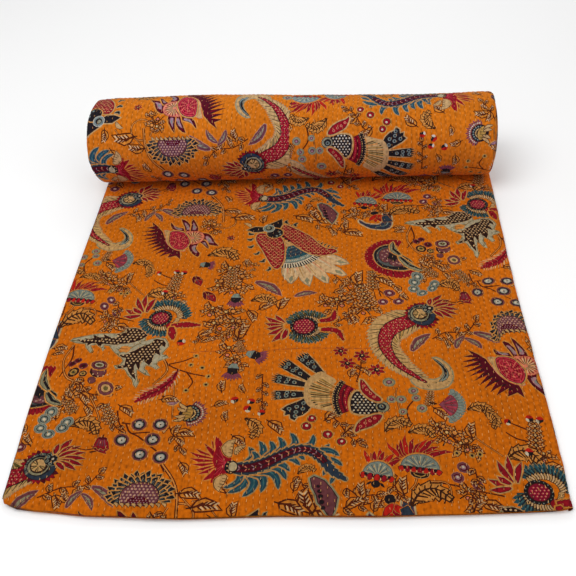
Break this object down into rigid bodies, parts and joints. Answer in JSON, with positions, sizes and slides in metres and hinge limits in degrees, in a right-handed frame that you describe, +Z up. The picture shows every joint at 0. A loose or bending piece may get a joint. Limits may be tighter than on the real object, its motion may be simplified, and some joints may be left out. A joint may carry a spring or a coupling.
{
  "type": "kantha quilt, folded and part rolled",
  "caption": "Stitched cotton quilt folded lengthwise into a strip, lying flat with its far end wound into a roll.",
  "frame": {"origin": "middle of the floor rectangle that the quilt covers", "axes": "+X across the folded strip, +Y from the front hem to the roll, +Z up"},
  "size_m": [0.7734, 0.8986, 0.1707],
  "materials": {
    "printed_cloth": "matte cotton, floral print on marigold, rows of running stitch",
    "stitch_thread": "soft cotton thread"
  },
  "bodies": {
    "root": {"quilt": "printed_cloth"}
  },
  "joints": []
}
